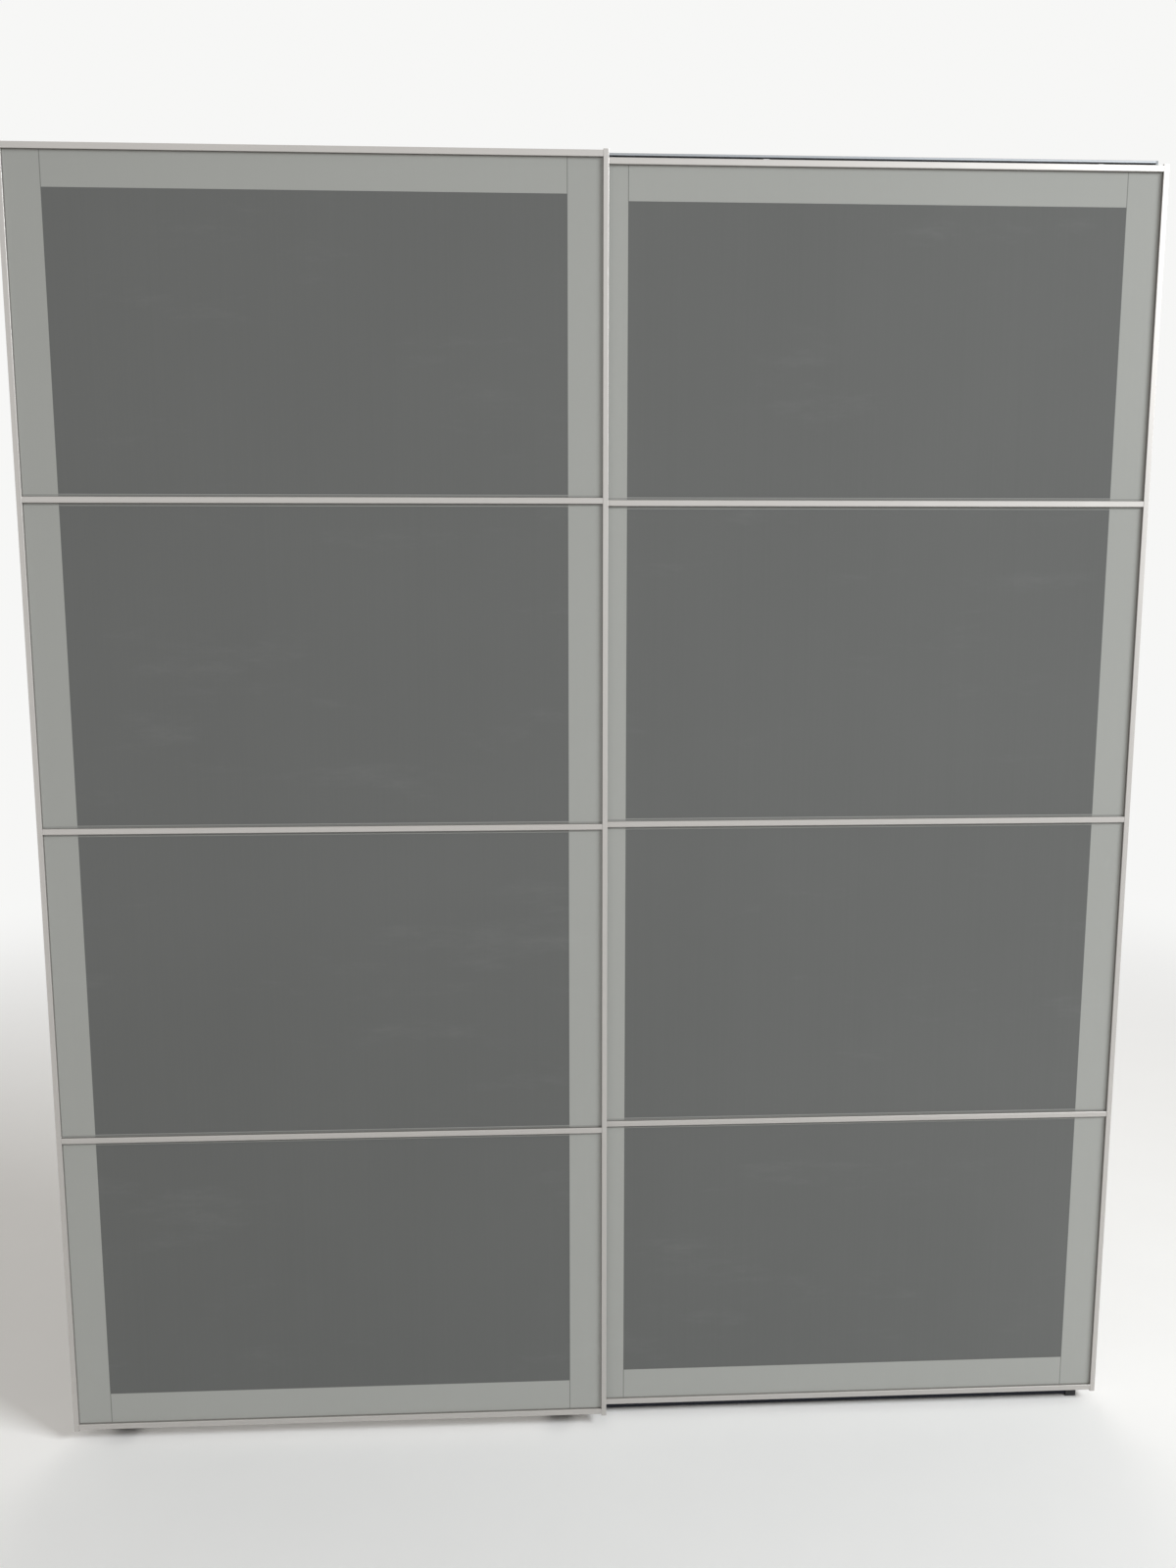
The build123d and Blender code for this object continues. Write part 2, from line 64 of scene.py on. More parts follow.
def colour(name, value, description):
    """A colour property with red, green and blue from 0 to 1."""
    return FloatVectorProperty(name=name, description=description, subtype="COLOR", size=3,
                               min=0, max=1, default=value)


def length(name, value, description):
    """A length property in metres."""
    return FloatProperty(name=name, description=description, subtype="DISTANCE", unit="LENGTH",
                         min=0, default=value, precision=5)


def lengths(name, value, description):
    """Two or three lengths in metres: a width and a height, or a place."""
    return FloatVectorProperty(name=name, description=description, unit="LENGTH", size=len(value),
                               default=value)


def angle(name, degrees, description):
    """An angle property, given in degrees and kept in radians."""
    return FloatProperty(name=name, description=description, subtype="ANGLE",
                         default=math.radians(degrees))


def power(name, value, description):
    """The power of a lamp in watts."""
    return FloatProperty(name=name, description=description, subtype="POWER", min=0, default=value)


class DoorFinishes(PropertyGroup):
    """Colours of what shows on the doors' faces."""

    aluminium: colour("Aluminium", (0.55, 0.53, 0.51), "Satin anodised profiles and glazing bars")
    border: colour("Border", (0.350, 0.355, 0.336), "Boards seen through the frosted glass")
    # The field's colour is the frosted glass's grey, darkened with painted shade of the unlit space
    # behind the door.
    field: colour("Frosted field", (0.112, 0.115, 0.112), "Frosted glass with nothing behind it")
    edge: colour("Glass edge", (0.10, 0.22, 0.17), "Green of the glass seen through its edge")
    board: colour("Board", (0.66, 0.65, 0.61), "Pale foil on the boards behind the glass")
    core: colour("Board edge", (0.60, 0.57, 0.50), "Edge band round the boards")
    # A real glazing lip, coloured dark so that it also stands for the shadow that the profiles cast
    # on the glass: partly painted shadow.
    seal: colour("Glazing seal", (0.16, 0.155, 0.145), "Thin lip between profile and glass")


class SealSizes(PropertyGroup):
    """Sizes of the glazing seal, a thin lip on the glass along each profile."""

    width: length("Lip width", 0.0008, "How far the lip reaches over the glass")
    height: length("Lip height", 0.0005, "How far the lip stands out from the glass")
    bar_width: length("Bar width", 0.0105, "Width of the face of a glazing bar")


class HardwareSizes(PropertyGroup):
    """Sizes of screws, pins and wheels, and places of screws on the pieces that they hold."""

    head: length("Head radius", 0.0040, "Radius of a pan head")
    dome: length("Head height", 0.0018, "How far a pan head stands out")
    flush_head: length("Corner head radius", 0.0038, "Radius of the flat heads at the corners")
    flush_dome: length("Corner head height", 0.0002, "How far those stand out")
    arm: length("Recess arm", 0.0018, "Half the length of the cross recess")
    slot: length("Recess width", 0.0010, "Width of one arm of the cross")
    washer: length("Washer radius", 0.0062, "Radius of the washers under the guides' screws")
    washer_wall: length("Washer thickness", 0.0008, "Thickness of those washers")
    plate: length("Plate", 0.0040, "Thickness of the hangers and the guides' plates")
    pin: length("Pin radius", 0.0080, "Just outside the head of a wheel's pin")
    pin_rise: length("Pin rise", 0.0029, "From a wheel back to the plate that carries its pin")
    groove: length("Wheel groove", 0.0115, "Radius that a wheel runs on")
    hanger_spread: length("Hanger spread", 0.0180, "From a hanger's middle to each of its screws")
    hanger_below: length("Hanger height", 0.0400, "From the door's top down to the hanger's screws")
    guide_above: length("Guide height", 0.0300, "From the door's foot up to the guide's screw")
    port_depth: length("Port depth", 0.0170, "From the door's face back to the screw ports")
    port_low: length("Lower port", 0.0076, "From the door's foot up to the lower ports")
    port_high: length("Upper port", 0.0066, "From the door's top down to the upper ports")
    shelf: length("Stop shelf", 0.0080, "Height of the end stops' shelves")
    shelf_spread: length("Shelf spread", 0.0080, "From a shelf's middle to each of its screws")


class HardwareFinishes(PropertyGroup):
    """Colours of rails, hangers, wheels and moulded pieces."""

    rail: colour("Top rail", (0.36, 0.375, 0.395), "Anodised running rail")
    cap: colour("Top caps", (0.30, 0.32, 0.34), "Grey moulded caps on the running rail")
    dark_rail: colour("Bottom rail", (0.030, 0.032, 0.040), "Dark anodised guide rail")
    zinc: colour("Zinc plate", (0.60, 0.61, 0.62), "Hangers bent from plated steel")
    screw: colour("Screws", (0.68, 0.68, 0.67), "Bright plated screws")
    wheel: colour("Wheels", (0.74, 0.74, 0.70), "Off-white moulded wheels")
    plastic: colour("Black plastic", (0.018, 0.018, 0.020), "Guides, caps and stops")
    rubber: colour("Rubber", (0.022, 0.021, 0.020), "Buffers")


class StageSettings(PropertyGroup):
    """The floor, the lamps and the camera."""

    floor: colour("Floor", (0.92, 0.915, 0.905), "Pale floor")
    radius: length("Floor radius", 14.0, "How far the floor reaches")
    fade_from: length("Fade start", 1.6, "Where the floor starts to fade into the backdrop")
    fade_to: length("Fade end", 5.0, "Where the backdrop's colour alone is left")
    backdrop: colour("Backdrop", (0.93, 0.93, 0.92), "What shows behind and round the doors")
    daylight: colour("Key colour", (0.94, 0.975, 1.0), "Colour of the key lamp")
    roomlight: colour("Sky colour", (1.0, 0.97, 0.93), "Colour of the even light and back lamp")
    sky: FloatProperty(name="Sky", description="Strength of the even light from all round",
                       min=0, default=0.45)
    key: power("Key lamp", 190, "Power of the lamp high at the front right")
    key_place: lengths("Key place", (5.6, -3.6, 4.8), "Middle of the key lamp")
    key_size: lengths("Key size", (3.2, 2.2), "Width and height of the key lamp")
    back: power("Back lamp", 26, "Power of the lamp behind the doors")
    back_place: lengths("Back place", (0.4, 4.2, 1.9), "Middle of the back lamp")
    back_size: lengths("Back size", (3.0, 3.0), "Width and height of the back lamp")
    spread: angle("Lamp spread", 110, "How wide the grids over the lamps let light out")
    aim: lengths("Lamp aim", (0.0, 0.0, 1.1), "The doors' middle, to which the lamps are turned")
    camera_place: lengths("Camera place", (-0.1479, -2.5702, 1.6680), "Where the camera stands")
    camera_down: angle("Camera tilt", 9.052, "How far the camera looks down")
    camera_right: angle("Camera turn", 2.951, "How far the camera looks to the right")
    sensor: FloatProperty(name="Sensor", description="Width of the camera's sensor",
                          subtype="DISTANCE_CAMERA", min=1, default=36.0)
    lens: FloatProperty(name="Lens", description="Focal length of the camera",
                        subtype="DISTANCE_CAMERA", min=1, default=32.37)


class Field:
    """A value that changes over a surface. Sums written with fields add the nodes that do them."""

    def __init__(self, finish, socket):
        self.finish = finish
        self.socket = socket

    def sum(self, operation, *values):
        return self.finish.node("ShaderNodeMath", {"operation": operation}, values)

    def __add__(self, other):
        return self.sum("ADD", self, other)

    def __radd__(self, other):
        return self.sum("ADD", other, self)

    def __sub__(self, other):
        return self.sum("SUBTRACT", self, other)

    def __rsub__(self, other):
        return self.sum("SUBTRACT", other, self)

    def __mul__(self, other):
        return self.sum("MULTIPLY", self, other)

    def __rmul__(self, other):
        return self.sum("MULTIPLY", other, self)

    def __truediv__(self, other):
        return self.sum("DIVIDE", self, other)

    def __pow__(self, other):
        return self.sum("POWER", self, other)

    def __abs__(self):
        return self.sum("ABSOLUTE", self)

    def least(self, other):
        return self.sum("MINIMUM", self, other)

    def most(self, other):
        return self.sum("MAXIMUM", self, other)

    def step(self, low, high):
        """0 below low and 1 above high, with a smooth rise between."""
        return self.finish.node("ShaderNodeMapRange", {"interpolation_type": "SMOOTHSTEP"},
                                {"Value": self, "From Min": low, "From Max": high})


class Nodes:
    """The nodes of one tree, added with one call each."""

    def __init__(self, tree, output):
        self.tree = tree
        self.tree.nodes.clear()
        self.output = self.tree.nodes.new(output)

    def node(self, kind, settings, values, output=0):
        """One node: its settings come first, then the values or links of its inputs."""
        made = self.tree.nodes.new(kind)
        for setting, value in settings.items():
            setattr(made, setting, value)
        pairs = values.items() if isinstance(values, dict) else enumerate(values)
        for key, value in pairs:
            socket = made.inputs[key]
            if isinstance(value, Field):
                self.tree.links.new(value.socket, socket)
            elif socket.type == "RGBA":
                socket.default_value = (*tuple(value)[:3], 1)
            else:
                socket.default_value = value
        return Field(self, made.outputs[output])

    def blend(self, share, first, second):
        """First colour where share is 0, second where it is 1."""
        return self.node("ShaderNodeMix", {"data_type": "RGBA"}, {0: share, 6: first, 7: second}, 2)

    def backdrop(self, kind, settings):
        """The backdrop: at full strength where the camera, gloss or clear glass looks at it, and
        only as strong as the sky where it gives light."""
        seen = self.node("ShaderNodeLightPath", {}, {}, "Is Camera Ray")
        for ray in ("Is Glossy Ray", "Is Transmission Ray"):
            seen = seen.most(self.node("ShaderNodeLightPath", {}, {}, ray))
        return self.node(kind, {}, {
            "Color": self.blend(seen, settings.roomlight, settings.backdrop),
            "Strength": seen * (1.0 - settings.sky) + settings.sky,
        })

    def finish_with(self, surface):
        """Links what the tree gives to its output."""
        self.tree.links.new(surface.socket, self.output.inputs["Surface"])


class Finish(Nodes):
    """A procedural material under construction."""

    def __init__(self, name):
        self.material = bpy.data.materials.new(name)
        self.material.use_nodes = True
        super().__init__(self.material.node_tree, "ShaderNodeOutputMaterial")
        self.place = self.node("ShaderNodeTexCoord", {}, {}, "Object")

    def axes(self, parts="XYZ"):
        """The named parts of the place on the piece, in metres in the row frame."""
        return [self.node("ShaderNodeSeparateXYZ", {}, [self.place], part) for part in parts]

    def facing(self, part):
        """One part of the surface's own direction."""
        normal = self.node("ShaderNodeNewGeometry", {}, {}, "Normal")
        return self.node("ShaderNodeSeparateXYZ", {}, [normal], part)

    def stretched(self, x, y, z, shift=0.0):
        """The place, scaled along each axis, for a pattern that is drawn out in one direction."""
        scaled = self.node("ShaderNodeVectorMath", {"operation": "MULTIPLY"},
                           [self.place, (x, y, z)])
        return self.node("ShaderNodeVectorMath", {"operation": "ADD"},
                         [scaled, (shift, shift, shift)])

    def noise(self, place, scale=1.0, detail=3.0, rough=0.55):
        """Soft noise from 0 to 1."""
        return self.node("ShaderNodeTexNoise", {"noise_dimensions": "3D"},
                         {"Vector": place, "Scale": scale, "Detail": detail, "Roughness": rough})

    def bump(self, height, distance, strength):
        """A surface direction that follows a height field; distance is its depth in metres."""
        return self.node("ShaderNodeBump", {},
                         {"Height": height, "Distance": distance, "Strength": strength})

    def shader(self, **values):
        """The finish itself; underscores in the names stand for spaces."""
        named = {key.replace("_", " "): value for key, value in values.items()}
        self.finish_with(self.node("ShaderNodeBsdfPrincipled", {}, named))
        return self.material


def shade(base, share):
    """A colour made lighter or darker by a share of itself."""
    return tuple(min(1.0, part * share) for part in base)


def dress(node, material):
    """Gives a CAD node one material."""
    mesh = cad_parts[node].data
    mesh.materials.clear()
    mesh.materials.append(material)


def extruded_metal(name, base, along, rough=0.37, seed=0.0):
    """Satin anodised extrusion: fine die lines run along it, with faint handling marks."""
    finish = Finish(name)
    fine = [1400.0, 1400.0, 1400.0]
    broad = [260.0, 260.0, 260.0]
    fine[along] = 2.0
    broad[along] = 1.1
    lines = finish.noise(finish.stretched(*fine, shift=seed), detail=2.0)
    bands = finish.noise(finish.stretched(*broad, shift=seed + 7.0), detail=3.0)
    marks = finish.noise(finish.stretched(9.0, 9.0, 9.0, shift=seed + 3.0), detail=4.0)
    speck = finish.noise(finish.stretched(2600.0, 2600.0, 2600.0), detail=1.0)
    tone = lines * 0.45 + bands * 0.55
    worn = marks.step(0.52, 0.72)
    body = finish.blend(tone, shade(base, 0.965), shade(base, 1.035))
    return finish.shader(
        Base_Color=finish.blend(worn * 0.35, body, shade(base, 0.92)),
        Metallic=1.0,
        Roughness=rough + tone * 0.07 + worn * 0.07 + speck * 0.04,
        Normal=finish.bump(tone * 0.8 + speck * 0.2, 0.00003, 0.45),
    )


def plated_steel(name, base, mottling=60.0, rough=0.32, pin=None):
    """Zinc-plated steel: a cloudy plate with rolled grain. A pin is turned steel with faint rings
    round its axis, and comes as the x and z of that axis, a radius and the y where it starts."""
    finish = Finish(name)
    clouds = finish.noise(finish.place, scale=mottling, detail=5.0)
    grain = finish.noise(finish.stretched(160.0, 1500.0, 1500.0), detail=2.0)
    spots = finish.noise(finish.place, scale=900.0, detail=2.0)
    tone = clouds.step(0.35, 0.68)
    tint = finish.blend(tone, shade(base, 0.86), shade(base, 1.08))
    dull = finish.blend(spots.step(0.60, 0.75) * 0.4, tint, shade(base, 0.72))
    height = grain * 0.6 + spots * 0.4
    roughness = rough + tone * 0.12 + grain * 0.08
    if pin:
        x, y, z = finish.axes()
        axis_x, axis_z, radius, start = pin
        across = ((x - axis_x) ** 2.0 + (z - axis_z) ** 2.0) ** 0.5
        turned = (1.0 - across.step(radius, radius + 0.0002)) * y.step(start, start + 0.0001)
        rings = finish.node("ShaderNodeMath", {"operation": "SINE"},
                            [across * 26000.0 + y * 21000.0])
        dull = finish.blend(turned, dull, shade(base, 0.82))
        height = height * (1.0 - turned) + rings * turned * 0.2
        roughness = roughness - turned * 0.08 + rings * turned * 0.03
    return finish.shader(Base_Color=dull, Metallic=1.0, Roughness=roughness,
                         Normal=finish.bump(height, 0.00006, 0.5))


def moulded_plastic(name, base, rough=0.46, grain=1900.0, depth=0.00004, dust=0.10):
    """Moulded plastic: a fine spark-eroded grain, with a breath of dust on what faces up."""
    finish = Finish(name)
    pores = finish.noise(finish.place, scale=grain, detail=2.0)
    flow = finish.noise(finish.place, scale=55.0, detail=3.0)
    patches = finish.noise(finish.place, scale=130.0).step(0.35, 0.75)
    settled = finish.facing("Z").step(0.35, 0.95) * patches
    body = finish.blend(flow, shade(base, 0.88), shade(base, 1.12))
    return finish.shader(
        Base_Color=finish.blend(settled * dust, body, DUST),
        Roughness=rough + pores * 0.14 + settled * 0.12,
        Normal=finish.bump(pores, depth, 0.8),
    )


def wheel_nylon(name, base, middle, groove, half=0.0025):
    """Off-white nylon: a greyed groove where it runs, a fine parting line and moulding swirl. The
    groove comes as its radius and half its width, and lies round the wheel's middle."""
    finish = Finish(name)
    x, y, z = finish.axes()
    across = ((x - middle[0]) ** 2.0 + (z - middle[2]) ** 2.0) ** 0.5
    aside = abs(y - middle[1])
    inside = 1.0 - aside.step(half - 0.0003, half + 0.0003)
    run = inside * across.step(groove - 0.001, groove)
    smear = finish.noise(finish.place, scale=420.0, detail=4.0)
    swirl = finish.noise(finish.place, scale=70.0, detail=3.0)
    body = finish.blend(swirl, shade(base, 0.93), shade(base, 1.05))
    parting = (1.0 - aside.step(0.00004, 0.00012)) * across.step(groove, groove + 0.0005)
    return finish.shader(
        Base_Color=finish.blend(run * smear.step(0.25, 0.7) * 0.65, body, GRIME),
        Roughness=0.34 + swirl * 0.12 + run * 0.10,
        Normal=finish.bump(swirl * 0.3 + parting, 0.00003, 0.6),
    )


def foil_board(name, base, core, box, along, foil=0.0004):
    """Foil-faced board: a nearly plain print with faint drawn-out grain, a lacquered front, and
    banded edges with a seam under the back's foil."""
    finish = Finish(name)
    front, back = box[0][1], box[1][1]
    y = finish.axes("Y")[0]
    stretch = [60.0, 60.0, 60.0]
    stretch[along] = 2.5
    grain = finish.noise(finish.stretched(*stretch), detail=6.0, rough=0.62)
    fibre = finish.noise(finish.stretched(*[part * 9.0 for part in stretch]), detail=3.0)
    orange_peel = finish.noise(finish.place, scale=420.0, detail=2.0)
    print_tone = grain * 0.7 + fibre * 0.3
    face = finish.blend(print_tone.step(0.25, 0.8), shade(base, 0.955), shade(base, 1.03))
    banded = 1.0 - abs(finish.facing("Y")).step(0.4, 0.8)
    seam_line = (1.0 - abs(y - (back - foil)).step(0.0001, 0.0003)) * banded
    edge = finish.blend(fibre, shade(core, 0.95), shade(core, 1.03))
    body = finish.blend(banded, face, edge)
    return finish.shader(
        Base_Color=finish.blend(seam_line * 0.5, body, shade(core, 0.45)),
        Roughness=0.30 + orange_peel * 0.10 + banded * 0.14,
        Coat_Weight=0.6 - 0.6 * y.step(front + foil / 2, front + foil * 1.5),
        Coat_Roughness=0.03,
        Normal=finish.bump(orange_peel * 0.6 + fibre * 0.4, 0.00003, 0.5),
    )


def frosted_glass(name, colours, pane, boards, bars):
    """Glass with a polished front and a frosted back. Where the boards touch its back they show
    as a pale border, with a fine line at each joint. Between them is a darker field, the glass's
    grey with painted shade of the unlit space behind the door.
    The flange of each glazing bar shows through as a band that ends in a faint line. The boards
    come as the four edges of the space between them, and the bars as the height of the lowest,
    the step from bar to bar and half the width of a flange."""
    finish = Finish(name)
    x, y, z = finish.axes()
    front, back = pane[0][1], pane[1][1]
    left, right, low, high = boards
    first, pitch, half = bars
    soft = 0.0004
    skin = 0.0001
    beside = 1.0 - x.step(left - soft, left + soft) * (1.0 - x.step(right - soft, right + soft))
    beyond = 1.0 - z.step(low - soft, low + soft) * (1.0 - z.step(high - soft, high + soft))
    bordered = beside.most(beyond)
    joint = 1.0 - abs(x - left - soft).least(abs(x - right + soft)).step(soft, 3 * soft)
    row = (z - first) / pitch
    off = abs(row - finish.node("ShaderNodeMath", {"operation": "ROUND"}, [row])) * pitch
    flange = 1.0 - off.step(half - soft, half + soft)
    rim = 1.0 - abs(off - half).step(0.0003, 0.0008)
    behind = y.step(back - 3 * skin, back - skin)
    ahead = 1.0 - y.step(front + skin, front + 3 * skin)
    edge = (1.0 - behind) * (1.0 - ahead)
    cloud = finish.noise(finish.place, scale=1.9, detail=3.0)
    drawn = finish.noise(finish.stretched(420.0, 420.0, 1.5), detail=2.0)
    wiped = finish.noise(finish.stretched(5.0, 5.0, 1.6), detail=5.0).step(0.50, 0.82)
    film = finish.noise(finish.stretched(2.2, 2.2, 9.0, shift=4.0), detail=6.0, rough=0.7)
    film = film.step(0.55, 0.80)
    tone = cloud * 0.7 + drawn * 0.3
    # Field colour: frosted glass with painted shade of the unlit space behind the door. The back
    # face gets it too.
    frosting_and_shade = finish.blend(tone, shade(colours.field, 0.90), shade(colours.field, 1.10))
    border = finish.blend(tone, shade(colours.border, 0.97), shade(colours.border, 1.03))
    body = finish.blend(bordered, frosting_and_shade, border)
    body = finish.blend(joint * beyond * 0.75, body, shade(colours.border, 0.40))
    body = finish.blend(flange * 0.55, body, shade(colours.border, 0.62))
    body = finish.blend(rim * 0.45, body, shade(colours.border, 1.15))
    body = finish.blend(film * 0.05, body, HAZE)
    body = finish.blend(behind, body, frosting_and_shade)
    body = finish.blend(edge, body, colours.edge)
    return finish.shader(
        Base_Color=body,
        Roughness=0.045 + wiped * 0.06 + film * 0.10 + behind * 0.40 + edge * 0.25,
        IOR=1.52,
    )


def vinyl(name, base):
    """Soft glazing vinyl with a faint drawn skin."""
    finish = Finish(name)
    skin = finish.noise(finish.place, scale=800.0, detail=2.0)
    return finish.shader(
        Base_Color=finish.blend(skin, shade(base, 0.85), shade(base, 1.15)),
        Roughness=0.42 + skin * 0.14,
        Normal=finish.bump(skin, 0.00002, 0.5),
    )


def soft_rubber(name, base):
    """Buffer rubber: matt, with a little bloom on it."""
    finish = Finish(name)
    bloom = finish.noise(finish.place, scale=160.0, detail=4.0).step(0.5, 0.8)
    pores = finish.noise(finish.place, scale=2200.0, detail=1.0)
    return finish.shader(
        Base_Color=finish.blend(bloom * 0.25, base, BLOOM),
        Roughness=0.72 + pores * 0.12,
        Normal=finish.bump(pores, 0.00005, 0.6),
    )


def grid_faces(rows, columns, closed_u, closed_v):
    """Faces of a grid of points, four neighbours each, counted row by row. A closed direction
    joins its last line to its first."""
    u = np.arange(rows if closed_u else rows - 1)
    v = np.arange(columns if closed_v else columns - 1)
    a, b = np.meshgrid(u, v, indexing="ij")
    after_a, after_b = (a + 1) % rows, (b + 1) % columns
    return np.stack([a * columns + b, after_a * columns + b,
                     after_a * columns + after_b, a * columns + after_b], axis=-1).reshape(-1, 4)


def build_mesh(name, points, faces):
    """A mesh from an array of points and an array of faces with four corners each."""
    mesh = bpy.data.meshes.new(name)
    mesh.vertices.add(points.size // 3)
    mesh.vertices.foreach_set("co", points.reshape(-1).astype(np.float32))
    mesh.loops.add(faces.size)
    mesh.loops.foreach_set("vertex_index", faces.reshape(-1).astype(np.int32))
    mesh.polygons.add(len(faces))
    mesh.polygons.foreach_set("loop_start", np.arange(0, faces.size, 4, dtype=np.int32))
    mesh.update(calc_edges=True)
    mesh.validate()
    return mesh


def grid_mesh(name, points, closed_u, closed_v):
    """A mesh from one grid of points."""
    rows, columns, _ = points.shape
    return build_mesh(name, points, grid_faces(rows, columns, closed_u, closed_v))


def spread(shapes):
    """Joins grids that are closed round their columns. Each comes with the place of its origin,
    the direction that its own Z takes, and a turn about that direction, in radians."""
    points, faces, count = [], [], 0
    for grid, place, out, turn in shapes:
        z = np.array(out, dtype=float)
        side = np.cross(z, (0.0, 0.0, 1.0)) if abs(z[2]) < 0.5 else np.array((1.0, 0.0, 0.0))
        up = np.cross(z, side)
        x = math.cos(turn) * side + math.sin(turn) * up
        axes = np.stack([x, np.cross(z, x), z])
        rows, columns, _ = grid.shape
        points.append(grid.reshape(-1, 3) @ axes + np.array(place))
        faces.append(grid_faces(rows, columns, False, True) + count)
        count += rows * columns
    return np.concatenate(points), np.concatenate(faces)


def screw_head(radius, dome, arm, slot, rings=26, sides=48):
    """A pan head that stands out along Z, with a cross recess. At radius r the dome is
    dome * (1 - (r / radius)^4)^0.5 high. Where a place lies in either arm of the cross the
    surface sinks to a third of the dome's height, with walls that slope over a short way, and a
    last ring closes the head underneath."""
    r = radius * np.sin(np.linspace(0, math.pi / 2, rings))[:, None]
    a = np.linspace(0, 2 * math.pi, sides, endpoint=False)[None, :]
    x, y = r * np.cos(a), r * np.sin(a)
    slope = 0.22 * slot

    def bar(along, across):
        inside = np.clip((slot / 2 - np.abs(across)) / slope + 0.5, 0, 1)
        return inside * np.clip((arm - np.abs(along)) / slope + 0.5, 0, 1)

    z = dome * np.sqrt(1 - np.minimum(1, (r / radius) ** 4)) * np.ones_like(a)
    z *= 1 - 0.66 * np.maximum(bar(x, y), bar(y, x))
    top = np.stack([x, y, z], axis=-1)
    return np.concatenate([top, np.zeros((1, sides, 3))])


def washer_ring(radius, wall, sides=40):
    """A flat washer: its outline in radius and height, turned about Z, with softened corners."""
    soft = 0.25 * wall
    outline = np.array([(0, wall), (radius - soft, wall), (radius, wall - soft),
                        (radius, 0), (0, 0)])
    a = np.linspace(0, 2 * math.pi, sides, endpoint=False)[None, :]
    r, z = outline[:, :1], outline[:, 1:]
    return np.stack([r * np.cos(a), r * np.sin(a), z * np.ones_like(a)], axis=-1)


def add_piece(name, mesh, material, body):
    """Links a new piece, gives it its material and lets it ride on a body."""
    piece = bpy.data.objects.new(name, mesh)
    bpy.context.scene.collection.objects.link(piece)
    mesh.materials.append(material)
    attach(piece, body)
    return piece


def lip_ring(opening, glass_y, width, height, steps=6):
    """A lip carried round a rectangle: its section is a quarter ellipse that falls from the
    profile to the glass, given by angle t as inset = width sin t, rise = height cos t, and
    closed by the corner under it. Corners are mitred by insetting all four sides alike."""
    low_x, high_x, low_z, high_z = opening
    t = np.linspace(0, math.pi / 2, steps)
    inset = np.concatenate([width * np.sin(t), [0.0]])
    rise = np.concatenate([height * np.cos(t), [0.0]])
    xs = np.stack([low_x + inset, high_x - inset, high_x - inset, low_x + inset])
    zs = np.stack([low_z + inset, low_z + inset, high_z - inset, high_z - inset])
    ys = np.broadcast_to(glass_y - rise, xs.shape)
    return np.stack([xs, ys, zs], axis=-1)


def openings(door, bar_width):
    """The visible rectangle of each pane, between the profiles and the glazing bars."""
    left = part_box(f"{door}_left_profile")[1][0]
    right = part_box(f"{door}_right_profile")[0][0]
    edges = [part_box(f"{door}_bottom_profile")[1][2]]
    for bar in BARS:
        low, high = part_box(f"{door}_muntin_{bar}")
        middle = (low[2] + high[2]) / 2
        edges += [middle - bar_width / 2, middle + bar_width / 2]
    edges.append(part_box(f"{door}_top_profile")[0][2])
    return [(left, right, edges[2 * row], edges[2 * row + 1]) for row in range(len(ROWS))]


class DOORS_OT_profiles(Operator):
    """Anodised finish on the doors' profiles and glazing bars"""

    bl_idname = "sliding_doors.profiles"
    bl_label = "Profiles and bars"

    def execute(self, context):
        base = tuple(context.scene.door_finishes.aluminium)
        for shift, door in enumerate(DOORS):
            upright = extruded_metal(f"{door}_upright_aluminium", base, 2, seed=11.0 * shift)
            level = extruded_metal(f"{door}_level_aluminium", base, 0, seed=5.0 + 11.0 * shift)
            for side in SIDES:
                dress(f"{door}_{side}_profile", upright)
            for end in ("top", "bottom"):
                dress(f"{door}_{end}_profile", level)
            for bar in BARS:
                dress(f"{door}_muntin_{bar}", level)
        return {"FINISHED"}


class DOORS_OT_glass(Operator):
    """Polished front and frosted back on every pane"""

    bl_idname = "sliding_doors.glass"
    bl_label = "Glass"

    def execute(self, context):
        colours = context.scene.door_finishes
        for door in DOORS:
            boards = (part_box(f"{door}_left_board")[1][0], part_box(f"{door}_right_board")[0][0],
                      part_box(f"{door}_bottom_board")[1][2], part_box(f"{door}_top_board")[0][2])
            low, high = (corner[2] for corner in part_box(f"{door}_muntin_1"))
            bars = ((low + high) / 2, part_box(f"{door}_muntin_2")[0][2] - low, (high - low) / 2)
            material = frosted_glass(f"{door}_glass", colours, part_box(f"{door}_pane_1"),
                                     boards, bars)
            for row in ROWS:
                dress(f"{door}_pane_{row}", material)
        return {"FINISHED"}


class DOORS_OT_boards(Operator):
    """Pale foil on the boards behind the glass"""

    bl_idname = "sliding_doors.boards"
    bl_label = "Boards"

    def execute(self, context):
        colours = context.scene.door_finishes
        for door in DOORS:
            for end, along in (("left", 2), ("right", 2), ("top", 0), ("bottom", 0)):
                node = f"{door}_{end}_board"
                dress(node, foil_board(f"{node}_foil", tuple(colours.board), tuple(colours.core),
                                       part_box(node), along))
        return {"FINISHED"}


class DOORS_OT_seals(Operator):
    """Glazing lips round every pane, dark so that they also draw a painted shadow line along the
    profiles
    """

    bl_idname = "sliding_doors.seals"
    bl_label = "Glazing seals"

    def execute(self, context):
        sizes = context.scene.seal_sizes
        # The lips' dark colour is partly their own and partly a painted shadow line along the
        # profiles.
        material = vinyl("glazing_vinyl_shadow_line", tuple(context.scene.door_finishes.seal))
        for door in DOORS:
            glass_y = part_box(f"{door}_pane_1")[0][1]
            for row, opening in zip(ROWS, openings(door, sizes.bar_width)):
                points = lip_ring(opening, glass_y, sizes.width, sizes.height)
                mesh = grid_mesh(f"{door}_seal_{row}", points, True, True)
                add_piece(f"{door}_seal_{row}", mesh, material, door)
        return {"FINISHED"}


